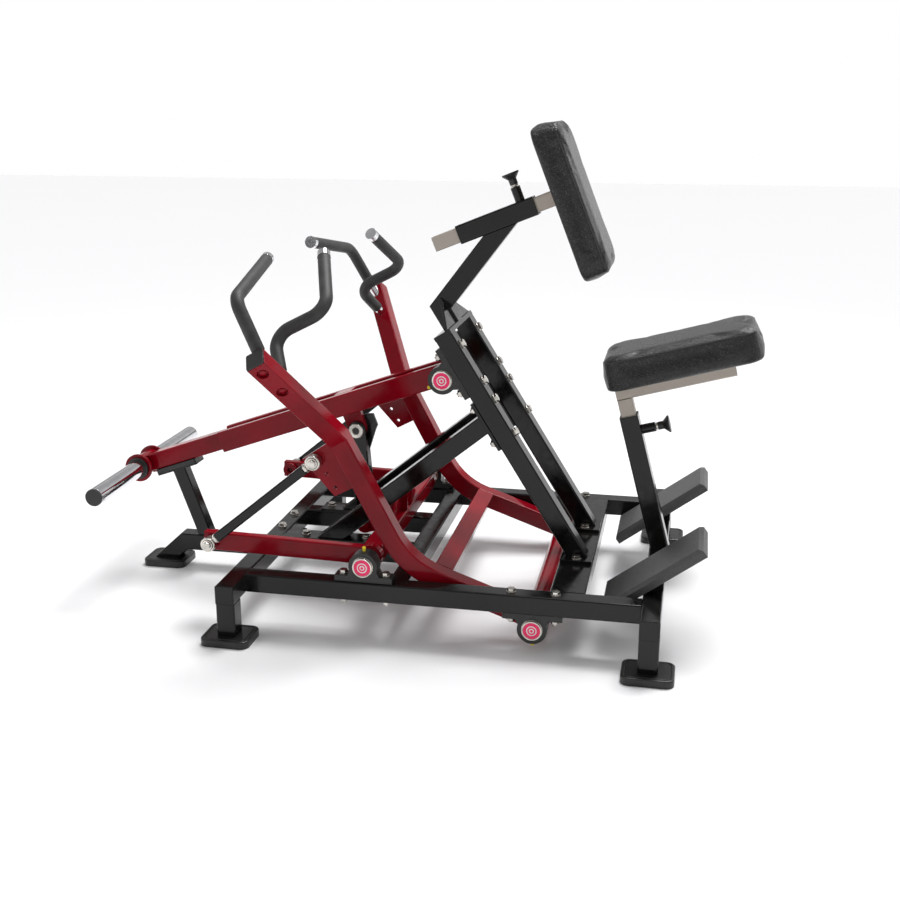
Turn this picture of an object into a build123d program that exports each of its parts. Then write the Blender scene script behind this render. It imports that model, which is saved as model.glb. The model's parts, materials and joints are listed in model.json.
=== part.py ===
"""Plate-loaded, chest-supported seated row machine, in millimetres.

+X points from the weight horns to the seat, +Z is up, and the machine is symmetric in Y. The origin is on
the floor, in the middle of the machine's length. Left and right are the user's, who sits facing the chest
pad, so the left side is the one at negative Y. Side views are drawn in station coordinates: the distance
from the back face of the rear cross member, and the height above the floor.
"""
from build123d import *
from math import cos, radians, sin, tan
import os

os.makedirs("parts", exist_ok=True)

# ---------------------------------------------------------------- driving dimensions
# frame tube
tube = 50.0
wall = 3.0
corner = 4.5
# feet and legs
foot_length = 130.0
foot_width = 110.0
foot_height = 20.0
foot_corner = 22.0
foot_round = 4.0
leg_height = 88.0
# bays of the base frame, between its cross members
rear_bay = 375.0
middle_bay = 365.0
front_bay = 141.0
wide_member = 90.0
rail_spacing = 796.0
leg_overhang = 89.0
# inclined uprights, their head plate and braces
upright_spacing = 248.0
upright_lean = 32.0
upright_setback = 10.0
upright_length = 712.0
head_plate_thickness = 12.0
brace_slope = 39.1
flange_rise = 452.0
brace_foot_back = 95.0
brace_foot_front = 320.0
plate_thickness = 9.0
plate_lip = 7.0
plate_bolt_inset = 25.0
base_plate_bolt_offset = 40.0
base_plate_edge = 15.0
base_plate_setback = 3.0
flange_length = 145.0
flange_bolt_spacing = 104.0
# pillow block bearings
bearing_height = 42.0
bearing_base = 152.0
bearing_base_thickness = 16.0
bearing_bolt_spacing = 112.0
bearing_round = 38.0
bearing_shoulder = 35.0
bearing_shoulder_rise = 31.5
bearing_width = 38.0
insert_radius = 27.0
axle_radius = 15.0
running_fit = 0.05
cap_radius = 26.0
cap_height = 6.0
nipple_radius = 4.0
nipple_height = 7.0
axle_end_gap = 1.0
collar_radius = 22.0
collar_gap = 0.5
arm_pivot_behind_uprights = 38.0
rocker_pivot_station = 365.0
weight_pivot_rise = 617.0
# fasteners
bolt_radius = 6.0
bolt_clearance = 0.5
bolt_head_radius = 11.0
bolt_head_height = 7.5
washer_radius = 12.5
washer_thickness = 2.5
bolt_tail = 5.0
head_clearance = 1.0
# plastic plugs in open tube ends
tube_cap_thickness = 4.0
frame_cap_lip = 1.5
tube_cap_inset = 1.0
# pull arms
arm_gap = 8.0
arm_low_slope = 19.5
arm_low_run = 358.6
arm_high_slope = 62.2
arm_high_run = 373.0
arm_bend_radius = 225.0
arm_splay_turn = 38.0
arm_top_slope = 61.2
arm_top_run = 354.0
arm_tail = 32.0
arm_cross_tube_run = 268.0
pivot_tube_radius = 29.0
pivot_tube_wall = 5.0
access_hole_radius = 15.5
# grips, as places measured from the crease of the arm
grip_bar_radius = 13.5
grip_foam_radius = 16.5
grip_fit = 0.1
grip_bend = 45.0
grip_cap_radius = 17.5
grip_cap_length = 14.0
outer_grip_drop = 28.0
inner_grip_drop = 105.0
# gusset plates and side rods
gusset_thickness = 10.0
gusset_drop = 129.0
gusset_low_reach = 86.0
gusset_high_reach = 117.0
gusset_edge_slant = 6.0
gusset_hole_radius = 5.0
rod_pin_behind_arm = 86.0
rod_pin_below_crease = 23.0
rod_side = 25.0
rod_corner = 5.0
rod_end_radius = 20.0
rod_end_width = 22.0
pin_radius = 8.0
pin_head_radius = 14.0
pin_head_thickness = 6.0
rod_end_gap = 4.0
rod_cap_thickness = 4.0
rod_neck = 32.0
rod_neck_radius = 9.0
open_gap = 1.5
# rocker
lever_height = 50.0
lever_thickness = 25.0
lever_reach = 437.7
lever_rise = 1.4
lever_tail = 22.0
rocker_tube_side = 50.0
rocker_lug_thickness = 12.0
rocker_lug_radius = 24.0
link_pin_reach = 100.0
link_pin_drop = 31.0
lever_boss_radius = 30.0
rocker_web_height = 88.0
rocker_web_reach = 150.0
rocker_web_thickness = 8.0
# weight arm
weight_arm_slope = 19.4
weight_arm_reach = 984.0
beam_height = 60.0
beam_thickness = 25.0
beam_run = 710.0
beam_tail = 34.0
nose_overlap = 60.0
lug_run = 318.0
lug_drop = 84.0
lug_thickness = 20.0
lug_round = 25.0
spacer_length = 54.0
horn_radius = 25.0
horn_core_radius = 24.0
horn_seat_gap = 1.0
horn_wall = 4.0
horn_length = 652.0
hub_radius = 31.0
hub_half_width = 45.0
disc_radius = 41.0
disc_thickness = 6.0
bumper_radius = 32.0
bumper_thickness = 8.0
horn_cap_thickness = 4.0
# centre link
link_depth = 50.0
link_width = 40.0
cheek_thickness = 8.5
fork_depth = 32.0
fork_root = 62.0
link_ring_radius = 21.0
link_ring_thickness = 6.0
# rear stand
stand_post_side = 40.0
stand_post_run = 881.0
rest_length = 130.0
rest_width = 60.0
rest_rubber = 12.0
rest_plate = 6.0
stand_bolt_offset = 54.0
stand_plate_thickness = 8.0
stand_plate_lip = 5.0
stand_plate_edge = 21.0
stand_beam_overhang = 65.0
stand_leg_spread = 60.0
# chest support
chest_post_back_rise = 85.0
chest_post_slope = 52.8
chest_post_length = 240.0
post_web_rise = 76.5
post_web_thickness = 6.0
chest_tilt = 21.8
chest_sleeve_length = 220.0
chest_sleeve_tail = 61.0
chest_slide_tail = 72.0
chest_slide_nose = 55.0
pad_width = 250.0
pad_length = 415.0
pad_thickness = 76.0
pad_corner = 45.0
pad_rim = 11.0
chest_pad_drop = 22.0
back_plate_thickness = 6.0
slide_clearance = 4.0
slide_side = tube - 2 * wall - slide_clearance
# seat
seat_lean = 15.1
seat_post_length = 383.0
seat_post_forward = 4.0
seat_stem_above = 48.0
seat_stem_inside = 150.0
seat_arm_length = 300.0
seat_board = 12.0
seat_plate = 5.6
seat_pad_back = 34.4
# pull pins
pull_pin_radius = 5.0
barrel_radius = 13.0
barrel_length = 38.0
pull_gap = 7.0
pull_neck_radius = 11.0
pull_neck_height = 14.0
pull_knob_radius = 23.0
pull_flare_height = 13.0
pull_lip = 4.0
pull_tip_short = 0.5
chest_pin_inset = 37.0
seat_pin_drop = 46.0
# foot plates
foot_plate_width = 180.0
foot_plate_thickness = 27.0
foot_plate_slope = 36.4
foot_plate_below = 114.0
foot_plate_above = 190.0
foot_plate_gap = 18.0
foot_plate_bevel = 9.0
bracket_thickness = 8.0
bracket_inset = 40.0

# ---------------------------------------------------------------- stations that follow
rail_bottom = foot_height + leg_height
rail_top = rail_bottom + tube
rail_middle = rail_bottom + tube / 2
middle_station = tube + rear_bay
wide_station = middle_station + tube + middle_bay
front_station = wide_station + wide_member + front_bay
rail_y = rail_spacing / 2
rail_inner_y = rail_y - tube / 2
frame_half_width = rail_y + tube / 2 + leg_overhang
leg_y = frame_half_width - tube / 2
upright_y = upright_spacing / 2
arm_y = rail_inner_y - arm_gap - tube / 2
arm_inner_y = arm_y - tube / 2
lever_y = arm_inner_y + lever_thickness / 2
rod_y = arm_y + gusset_thickness / 2 + rod_end_gap + rod_end_width / 2


def turned(angle, reach, lift=0.0):
    """Step of a given reach at an angle above +X, and a lift square to it."""
    swing = radians(angle)
    return Vector(reach * cos(swing) - lift * sin(swing), reach * sin(swing) + lift * cos(swing))


# The uprights' own line: 'rise' runs up their front face from the rail top, 'lift' is the way forward.
upright_foot = Vector(wide_station + wide_member - upright_setback, rail_top)
upright_angle = 90 + upright_lean


def on_upright(rise, forward=0.0):
    return upright_foot + turned(upright_angle, rise, -forward)


arm_pivot = Vector(wide_station - arm_pivot_behind_uprights, rail_bottom - bearing_height)
rocker_pivot = Vector(rocker_pivot_station, rail_top + bearing_height)
weight_pivot = on_upright(weight_pivot_rise, -tube - bearing_height)


def on_weight_arm(run, drop=0.0):
    return weight_pivot + turned(180 + weight_arm_slope, run, drop)


horn_centre = on_weight_arm(weight_arm_reach)
post_foot = Vector(front_station + tube / 2 + seat_post_forward, rail_top)
post_top = post_foot + turned(90 + seat_lean, seat_post_length)


def on_seat(run, lift):
    return post_top + turned(seat_lean, run, lift)


seat_pad_bottom = seat_stem_above + slide_side + seat_plate
seat_tip = on_seat(pad_length - seat_pad_back - pad_rim, seat_pad_bottom + pad_rim).X + pad_rim
rear_x = (disc_radius - horn_centre.X - seat_tip) / 2


def side(y):
    """Side view plane at a given Y: stations to the right, heights up, and extrusion towards -Y."""
    return Plane(origin=(rear_x, y, 0), x_dir=(1, 0, 0), z_dir=(0, -1, 0))


def at(point, y=0.0):
    """Place of a side view point."""
    return Vector(rear_x + point.X, y, point.Y)


def heading(angle):
    """Direction in space of an angle in the side view."""
    return Vector(cos(radians(angle)), 0, sin(radians(angle)))


def tube_section(width=tube, depth=tube, skin=wall):
    RectangleRounded(width, depth, corner)
    RectangleRounded(width - 2 * skin, depth - 2 * skin, corner - skin, mode=Mode.SUBTRACT)


def straight_tube(start, end, y=0.0, width=tube, depth=tube):
    """Square tube between two side view points, width across the machine."""
    first = at(start, y)
    run = at(end, y) - first
    with BuildSketch(Plane(origin=first, x_dir=(0, 1, 0), z_dir=run)) as section:
        tube_section(width, depth)
    extrude(section.sketch, amount=run.length)


def cross_tube(station, half_length, width=tube):
    """Tube across the machine at rail height, its back face at the station."""
    ends = Plane(origin=(rear_x + station + width / 2, -half_length, rail_middle),
                 x_dir=(1, 0, 0), z_dir=(0, 1, 0))
    with BuildSketch(ends) as section:
        tube_section(width, tube)
    extrude(section.sketch, amount=2 * half_length)


def plate(points, y_low, thickness):
    """Flat plate with a side view outline, from y_low towards +Y."""
    with BuildSketch(side(y_low + thickness)) as outline:
        with BuildLine():
            Polyline(*points, close=True)
        make_face()
    extrude(outline.sketch, amount=thickness)


def shaft(point, radius, y_from, y_to, mode=Mode.ADD):
    """Round bar across the machine."""
    with Locations(Plane(origin=at(point, y_from), z_dir=(0, 1, 0))):
        Cylinder(radius, y_to - y_from, align=(Align.CENTER, Align.CENTER, Align.MIN), mode=mode)


def both(y):
    return (-y, y)


# ---------------------------------------------------------------- bolt places
# Each bolt is a seat for its head, the way it points, and the thickness it holds.
down = Vector(0, 0, -1)
backwards = heading(180 + upright_lean)
block_grip = tube + bearing_base_thickness
rail_bolts = []
upright_bolts = []
floor_plate_bolts = []
stand_bolts = []
for offset in both(bearing_bolt_spacing / 2):
    for y in both(rail_y):
        rail_bolts.append((at(arm_pivot + Vector(offset, bearing_height + tube), y), down, block_grip))
        block_top = rocker_pivot + Vector(offset, bearing_base_thickness - bearing_height)
        rail_bolts.append((at(block_top, y), down, block_grip))
    for y in both(upright_y):
        upright_bolts.append((at(on_upright(weight_pivot_rise + offset), y), backwards, block_grip))
for offset in both(flange_bolt_spacing / 2):
    for y in both(upright_y):
        upright_bolts.append((at(on_upright(flange_rise + offset), y), backwards, tube + plate_thickness))
for y in both(upright_y):
    for station in (brace_foot_back + plate_bolt_inset, brace_foot_front - plate_bolt_inset):
        seat = at(Vector(station, rail_top + plate_thickness), y)
        floor_plate_bolts.append((seat, down, tube + plate_thickness))
    for offset in both(base_plate_bolt_offset):
        seat = at(Vector(wide_station + wide_member / 2, rail_top + plate_thickness), y + offset)
        floor_plate_bolts.append((seat, down, tube + plate_thickness))
for y in both(stand_bolt_offset):
    stand_bolts.append((at(Vector(tube / 2, rail_top), y), down, tube + stand_plate_thickness))


def bolt_holes(bolts):
    for seat, way, grip in bolts:
        with Locations(Plane(origin=seat - way * head_clearance, z_dir=way)):
            Cylinder(bolt_radius + bolt_clearance, grip + 2 * head_clearance, mode=Mode.SUBTRACT,
                     align=(Align.CENTER, Align.CENTER, Align.MIN))


def hex_bolts(bolts):
    for seat, way, grip in bolts:
        head = Plane(origin=seat, z_dir=way)
        nut = head.offset(grip)
        with Locations(head):
            Cylinder(washer_radius, washer_thickness, align=(Align.CENTER, Align.CENTER, Align.MAX))
            Cylinder(bolt_radius, grip + washer_thickness + bolt_head_height + bolt_tail,
                     align=(Align.CENTER, Align.CENTER, Align.MIN))
        with Locations(nut):
            Cylinder(washer_radius, washer_thickness, align=(Align.CENTER, Align.CENTER, Align.MIN))
        for face, height in ((head.offset(-washer_thickness), -1), (nut.offset(washer_thickness), 1)):
            with BuildSketch(face) as hexagon:
                RegularPolygon(bolt_head_radius, 6)
            extrude(hexagon.sketch, amount=height * bolt_head_height)


# ---------------------------------------------------------------- base frame
with BuildPart() as rear_cross_member:
    cross_tube(0, frame_half_width)
    bolt_holes(stand_bolts)
rear_cross_member.part.label = "rear_cross_member"
export_step(rear_cross_member.part, "parts/rear_cross_member.step")

with BuildPart() as middle_cross_member:
    cross_tube(middle_station, rail_inner_y)
middle_cross_member.part.label = "middle_cross_member"
export_step(middle_cross_member.part, "parts/middle_cross_member.step")

with BuildPart() as wide_cross_member:
    cross_tube(wide_station, rail_inner_y, wide_member)
    bolt_holes(floor_plate_bolts)
wide_cross_member.part.label = "wide_cross_member"
export_step(wide_cross_member.part, "parts/wide_cross_member.step")

with BuildPart() as front_cross_member:
    cross_tube(front_station, frame_half_width)
front_cross_member.part.label = "front_cross_member"
export_step(front_cross_member.part, "parts/front_cross_member.step")

with BuildPart() as left_side_rail:
    straight_tube(Vector(tube, rail_middle), Vector(front_station, rail_middle), -rail_y)
    bolt_holes(rail_bolts)
left_side_rail.part.label = "left_side_rail"
export_step(left_side_rail.part, "parts/left_side_rail.step")

with BuildPart() as right_side_rail:
    mirror(left_side_rail.part, about=Plane.XZ)
right_side_rail.part.label = "right_side_rail"
export_step(right_side_rail.part, "parts/right_side_rail.step")

with BuildPart() as stringers:
    for y in both(upright_y):
        straight_tube(Vector(tube, rail_middle), Vector(middle_station, rail_middle), y)
    bolt_holes(floor_plate_bolts)
stringers.part.label = "stringers"
export_step(stringers.part, "parts/stringers.step")

corner_stations = (tube / 2, front_station + tube / 2)
with BuildPart() as corner_legs:
    for station in corner_stations:
        for y in both(leg_y):
            straight_tube(Vector(station, foot_height), Vector(station, rail_bottom), y)
corner_legs.part.label = "corner_legs"
export_step(corner_legs.part, "parts/corner_legs.step")

# ---------------------------------------------------------------- rear stand
stand_beam_middle = rail_bottom - stand_plate_thickness - tube / 2
stand_beam_top = stand_beam_middle + tube / 2
stand_post_top = on_weight_arm(stand_post_run, tube / 2 + rest_rubber + rest_plate)
post_fall = (stand_post_top.Y - stand_beam_top) / cos(radians(weight_arm_slope))
stand_post_foot = stand_post_top - turned(90 + weight_arm_slope, post_fall)
stand_beam_end = Vector(stand_post_foot.X - stand_beam_overhang, stand_beam_middle)
stand_leg_foot = Vector(stand_beam_end.X - stand_leg_spread, foot_height)
leg_way = (stand_leg_foot - stand_beam_end).normalized()
stand_mitre = Plane(origin=at(stand_beam_end), z_dir=Vector(leg_way.X - 1, 0, leg_way.Y))
with BuildPart() as rear_stand_beam:
    straight_tube(Vector(tube, stand_beam_middle), stand_beam_end - Vector(tube, 0))
    split(bisect_by=stand_mitre, keep=Keep.BOTTOM)
    mitred = rear_stand_beam.faces().sort_by(Axis.X)[0]
    extrude(mitred, amount=2 * stand_leg_spread, dir=(leg_way.X, 0, leg_way.Y))
    split(bisect_by=Plane.XY.offset(foot_height), keep=Keep.TOP)
    with Locations(at(Vector(tube / 2, rail_bottom))):
        Box(tube + 2 * stand_plate_lip, 2 * (stand_bolt_offset + stand_plate_edge), stand_plate_thickness,
            align=(Align.CENTER, Align.CENTER, Align.MAX))
    bolt_holes(stand_bolts)
rear_stand_beam.part.label = "rear_stand_beam"
export_step(rear_stand_beam.part, "parts/rear_stand_beam.step")

rest_plane = Plane(origin=at(on_weight_arm(stand_post_run, tube / 2)), x_dir=(0, 1, 0),
                   z_dir=-heading(90 + weight_arm_slope))
with BuildPart() as rear_stand_post:
    straight_tube(stand_post_top, stand_post_foot - turned(90 + weight_arm_slope, tube),
                  width=stand_post_side, depth=stand_post_side)
    split(bisect_by=Plane.XY.offset(stand_beam_top), keep=Keep.TOP)
    with BuildSketch(rest_plane.offset(rest_rubber)):
        RectangleRounded(rest_width, rest_length, corner)
    extrude(amount=rest_plate)
rear_stand_post.part.label = "rear_stand_post"
export_step(rear_stand_post.part, "parts/rear_stand_post.step")

with BuildPart() as stand_rest_pad:
    with BuildSketch(rest_plane):
        RectangleRounded(rest_width, rest_length, corner)
    extrude(amount=rest_rubber)
stand_rest_pad.part.label = "stand_rest_pad"
export_step(stand_rest_pad.part, "parts/stand_rest_pad.step")

foot_places = [at(Vector(station, 0), y) for station in corner_stations for y in both(leg_y)]
foot_places.append(at(Vector(stand_leg_foot.X, 0)))
with BuildPart() as rubber_feet:
    with BuildSketch():
        with Locations(*foot_places):
            RectangleRounded(foot_length, foot_width, foot_corner)
    extrude(amount=foot_height)
    fillet(rubber_feet.faces().group_by(Axis.Z)[-1].edges(), radius=foot_round)
rubber_feet.part.label = "rubber_feet"
export_step(rubber_feet.part, "parts/rubber_feet.step")

# ---------------------------------------------------------------- tower
with BuildPart() as uprights:
    for y in both(upright_y):
        straight_tube(on_upright(-2 * tube, -tube / 2), on_upright(upright_length, -tube / 2), y)
    split(bisect_by=Plane.XY.offset(rail_top + plate_thickness), keep=Keep.TOP)
    bolt_holes(upright_bolts)
uprights.part.label = "uprights"
export_step(uprights.part, "parts/uprights.step")

brace_top = on_upright(flange_rise + 7, -tube - plate_thickness)
brace_fall = (brace_top.Y - rail_top) / sin(radians(brace_slope)) + tube
back_face = Plane(origin=at(on_upright(0, -tube - plate_thickness)), z_dir=backwards)
with BuildPart() as braces:
    for y in both(upright_y):
        straight_tube(brace_top + turned(brace_slope, tube), brace_top - turned(brace_slope, brace_fall), y)
    split(bisect_by=back_face, keep=Keep.TOP)
    split(bisect_by=Plane.XY.offset(rail_top + plate_thickness), keep=Keep.TOP)
braces.part.label = "braces"
export_step(braces.part, "parts/braces.step")

flange_ends = (flange_rise - flange_length / 2, flange_rise + flange_length / 2)
with BuildPart() as mounting_plates:
    for y in both(upright_y):
        flange_outline = [on_upright(flange_ends[0], -tube), on_upright(flange_ends[1], -tube),
                          on_upright(flange_ends[1], -tube - plate_thickness),
                          on_upright(flange_ends[0], -tube - plate_thickness)]
        plate(flange_outline, y - tube / 2, tube)
        with Locations(at(Vector((brace_foot_back + brace_foot_front) / 2, rail_top), y)):
            Box(brace_foot_front - brace_foot_back, tube + 2 * plate_lip, plate_thickness,
                align=(Align.CENTER, Align.CENTER, Align.MIN))
        with Locations(at(Vector(wide_station + wide_member / 2, rail_top), y)):
            Box(wide_member - 2 * base_plate_setback, 2 * (base_plate_bolt_offset + base_plate_edge),
                plate_thickness, align=(Align.CENTER, Align.CENTER, Align.MIN))
    bolt_holes(upright_bolts)
    bolt_holes(floor_plate_bolts)
mounting_plates.part.label = "mounting_plates"
export_step(mounting_plates.part, "parts/mounting_plates.step")

head_outline = [on_upright(upright_length), on_upright(upright_length, -tube),
                on_upright(upright_length + head_plate_thickness, -tube),
                on_upright(upright_length + head_plate_thickness)]
head_half_width = upright_y + tube / 2
with BuildPart() as head_plate:
    plate(head_outline, -head_half_width, 2 * head_half_width)
head_plate.part.label = "head_plate"
export_step(head_plate.part, "parts/head_plate.step")

# ---------------------------------------------------------------- chest support
post_base = upright_length + head_plate_thickness
elbow_back = on_upright(upright_length + chest_post_back_rise, -tube)
elbow_plane = Plane(origin=at(elbow_back), z_dir=heading((upright_angle + chest_post_slope) / 2))
sleeve_tail_bottom = (elbow_back + turned(chest_post_slope, chest_post_length)
                      - turned(chest_tilt, chest_sleeve_tail))


def on_chest(run, lift=0.0):
    """Place along the chest sleeve's centre line from its tail, and a lift square to it."""
    return sleeve_tail_bottom + turned(chest_tilt, run, tube / 2 + lift)


sleeve_underside = Plane(origin=at(on_chest(0, -tube / 2)), z_dir=heading(chest_tilt + 90))
with BuildPart() as chest_post:
    straight_tube(on_upright(post_base, -tube / 2), on_upright(post_base + 3 * tube, -tube / 2))
    split(bisect_by=elbow_plane, keep=Keep.BOTTOM)
    mitred = chest_post.faces().sort_by(Axis.Z)[-1]
    extrude(mitred, amount=chest_post_length + 2 * tube, dir=heading(chest_post_slope))
    split(bisect_by=sleeve_underside, keep=Keep.BOTTOM)
    # side webs from the flats of the lower length to the heads of the uprights
    web_face = Plane(origin=at(on_upright(post_base, -post_web_thickness)), x_dir=(0, 1, 0),
                     z_dir=-heading(upright_lean))
    with BuildSketch(web_face) as web:
        with BuildLine():
            Polyline((-tube / 2, 0), (-head_half_width, 0), (-tube / 2, -post_web_rise), close=True)
        make_face()
        mirror(about=Plane.YZ)
    extrude(web.sketch, amount=post_web_thickness)
chest_post.part.label = "chest_post"
export_step(chest_post.part, "parts/chest_post.step")

chest_pin_place = Plane(origin=at(on_chest(chest_sleeve_length - chest_pin_inset, tube / 2)),
                        z_dir=-heading(chest_tilt + 90))
with BuildPart() as chest_sleeve:
    straight_tube(on_chest(0), on_chest(chest_sleeve_length))
    with Locations(chest_pin_place):
        Cylinder(pull_pin_radius + running_fit, 4 * wall, mode=Mode.SUBTRACT)
chest_sleeve.part.label = "chest_sleeve"
export_step(chest_sleeve.part, "parts/chest_sleeve.step")

chest_slide_end = chest_sleeve_length + chest_slide_nose
with BuildPart() as chest_slide:
    straight_tube(on_chest(-chest_slide_tail), on_chest(chest_slide_end), 0, slide_side, slide_side)
    with BuildSketch(Plane(origin=at(on_chest(chest_slide_end, -chest_pad_drop)), x_dir=(0, 1, 0),
                           z_dir=heading(chest_tilt))):
        RectangleRounded(pad_width / 2, pad_length / 2, corner)
    extrude(amount=back_plate_thickness)
chest_slide.part.label = "chest_slide"
export_step(chest_slide.part, "parts/chest_slide.step")

chest_pad_back = Plane(origin=at(on_chest(chest_slide_end + back_plate_thickness, -chest_pad_drop)),
                       x_dir=(0, 1, 0), z_dir=heading(chest_tilt))
with BuildPart() as chest_pad:
    with BuildSketch(chest_pad_back):
        RectangleRounded(pad_width, pad_length, pad_corner)
    extrude(amount=pad_thickness)
    fillet(chest_pad.edges().filter_by(chest_pad_back), radius=pad_rim)
chest_pad.part.label = "chest_pad"
export_step(chest_pad.part, "parts/chest_pad.step")

# ---------------------------------------------------------------- seat
seat_pin_place = Plane(origin=at(on_seat(tube / 2, -seat_pin_drop)), z_dir=-heading(seat_lean))
with BuildPart() as seat_post:
    straight_tube(post_top - turned(90 + seat_lean, seat_post_length + tube), post_top)
    split(bisect_by=Plane.XY.offset(rail_top), keep=Keep.TOP)
    with Locations(seat_pin_place):
        Cylinder(pull_pin_radius + running_fit, 4 * wall, mode=Mode.SUBTRACT)
seat_post.part.label = "seat_post"
export_step(seat_post.part, "parts/seat_post.step")

seat_arm_middle = seat_stem_above + slide_side / 2
seat_plate_top = seat_stem_above + slide_side + seat_plate
with BuildPart() as seat_frame:
    straight_tube(on_seat(0, -seat_stem_inside), on_seat(0, seat_stem_above), 0, slide_side, slide_side)
    straight_tube(on_seat(-slide_side / 2, seat_arm_middle), on_seat(seat_arm_length, seat_arm_middle),
                  0, slide_side, slide_side)
    with BuildSketch(Plane(origin=at(on_seat(seat_arm_length / 2, seat_plate_top - seat_plate)),
                           x_dir=(0, 1, 0), z_dir=heading(90 + seat_lean))):
        RectangleRounded(pad_width / 2, seat_arm_length, corner)
    extrude(amount=seat_plate)
seat_frame.part.label = "seat_frame"
export_step(seat_frame.part, "parts/seat_frame.step")

seat_pad_middle = pad_length / 2 - seat_pad_back
seat_pad_base = Plane(origin=at(on_seat(seat_pad_middle, seat_plate_top)), x_dir=(0, 1, 0),
                      z_dir=heading(90 + seat_lean))
with BuildPart() as seat_pad:
    with BuildSketch(seat_pad_base):
        RectangleRounded(pad_width, pad_length, pad_corner)
    extrude(amount=pad_thickness + seat_board)
    fillet(seat_pad.edges().filter_by(seat_pad_base), radius=pad_rim)
seat_pad.part.label = "seat_pad"
export_step(seat_pad.part, "parts/seat_pad.step")

# ---------------------------------------------------------------- pull pins
pin_places = (chest_pin_place, seat_pin_place)
with BuildPart() as pull_pin_barrels:
    for place in pin_places:
        with Locations(place):
            Cylinder(barrel_radius, barrel_length, align=(Align.CENTER, Align.CENTER, Align.MAX))
            Cylinder(pull_pin_radius + running_fit, barrel_length, mode=Mode.SUBTRACT,
                     align=(Align.CENTER, Align.CENTER, Align.MAX))
pull_pin_barrels.part.label = "pull_pin_barrels"
export_step(pull_pin_barrels.part, "parts/pull_pin_barrels.step")


def pull_pin(place):
    """Plunger through its barrel, with a knob that flares outwards clear of the barrel's mouth."""
    top = (Align.CENTER, Align.CENTER, Align.MAX)
    neck = place.offset(-barrel_length - pull_gap)
    flare = neck.offset(-pull_neck_height)
    with Locations(place.offset(wall - pull_tip_short)):
        Cylinder(pull_pin_radius, wall + barrel_length + pull_gap + pull_neck_height, align=top)
    with Locations(neck):
        Cylinder(pull_neck_radius, pull_neck_height, align=top)
    with Locations(flare):
        Cone(pull_knob_radius, pull_neck_radius, pull_flare_height, align=top)
    with Locations(flare.offset(-pull_flare_height)):
        Cylinder(pull_knob_radius, pull_lip, align=top)


with BuildPart() as chest_pull_pin:
    pull_pin(chest_pin_place)
chest_pull_pin.part.label = "chest_pull_pin"
export_step(chest_pull_pin.part, "parts/chest_pull_pin.step")

with BuildPart() as seat_pull_pin:
    pull_pin(seat_pin_place)
seat_pull_pin.part.label = "seat_pull_pin"
export_step(seat_pull_pin.part, "parts/seat_pull_pin.step")

# ---------------------------------------------------------------- foot plates
foot_edge = Vector(front_station, rail_top)
foot_outer_y = rail_inner_y - foot_plate_gap
foot_inner_y = foot_outer_y - foot_plate_width
foot_low = foot_edge - turned(foot_plate_slope, foot_plate_below)
with BuildPart() as foot_plates:
    for y in (foot_inner_y, -foot_outer_y):
        plate([foot_low,
               foot_low + turned(foot_plate_slope, foot_plate_below + foot_plate_above),
               foot_low + turned(foot_plate_slope, foot_plate_below + foot_plate_above,
                                 foot_plate_thickness),
               foot_low + turned(foot_plate_slope, 0, foot_plate_thickness)], y, foot_plate_width)
    tops = foot_plates.faces().filter_by(Plane(origin=(0, 0, 0), z_dir=heading(90 + foot_plate_slope)))
    chamfer(tops.group_by(Axis.Z)[-1].edges(), length=foot_plate_bevel, length2=foot_plate_bevel)
foot_plates.part.label = "foot_plates"
export_step(foot_plates.part, "parts/foot_plates.step")

bracket_rise = tube * tan(radians(foot_plate_slope))
with BuildPart() as foot_plate_brackets:
    for y in both((foot_inner_y + foot_outer_y) / 2):
        for inset in both(foot_plate_width / 2 - bracket_inset):
            plate([foot_edge, foot_edge + Vector(tube, 0), foot_edge + Vector(tube, bracket_rise)],
                  y + inset - bracket_thickness / 2, bracket_thickness)
foot_plate_brackets.part.label = "foot_plate_brackets"
export_step(foot_plate_brackets.part, "parts/foot_plate_brackets.step")

# ---------------------------------------------------------------- pillow block bearings
# Each block is a shaft centre, the way from its base to the shaft, and its Y.
bearing_places = []
for y in both(rail_y):
    bearing_places.append((arm_pivot, -90, y))
    bearing_places.append((rocker_pivot, 90, y))
for y in both(upright_y):
    bearing_places.append((weight_pivot, 180 + upright_lean, y))
block_bolts = rail_bolts + upright_bolts
with BuildPart() as bearing_housings:
    for centre, way, y in bearing_places:
        base = centre - turned(way, bearing_height)
        along = way - 90
        half_base = bearing_base / 2
        seat_edge = bearing_bolt_spacing / 2 - washer_radius - head_clearance
        outline = [base + turned(along, -half_base), base + turned(along, half_base),
                   base + turned(along, half_base, bearing_base_thickness),
                   base + turned(along, seat_edge, bearing_base_thickness),
                   base + turned(along, bearing_shoulder, bearing_shoulder_rise),
                   base + turned(along, -bearing_shoulder, bearing_shoulder_rise),
                   base + turned(along, -seat_edge, bearing_base_thickness),
                   base + turned(along, -half_base, bearing_base_thickness)]
        plate(outline, y - bearing_width / 2, bearing_width)
        shaft(centre, bearing_round, y - bearing_width / 2, y + bearing_width / 2)
    for centre, way, y in bearing_places:
        shaft(centre, insert_radius, y - bearing_width, y + bearing_width, Mode.SUBTRACT)
    bolt_holes(block_bolts)
bearing_housings.part.label = "bearing_housings"
export_step(bearing_housings.part, "parts/bearing_housings.step")

with BuildPart() as bearing_inserts:
    for centre, way, y in bearing_places:
        shaft(centre, insert_radius, y - bearing_width / 2, y + bearing_width / 2)
        shaft(centre, axle_radius + running_fit, y - bearing_width, y + bearing_width, Mode.SUBTRACT)
bearing_inserts.part.label = "bearing_inserts"
export_step(bearing_inserts.part, "parts/bearing_inserts.step")

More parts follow.
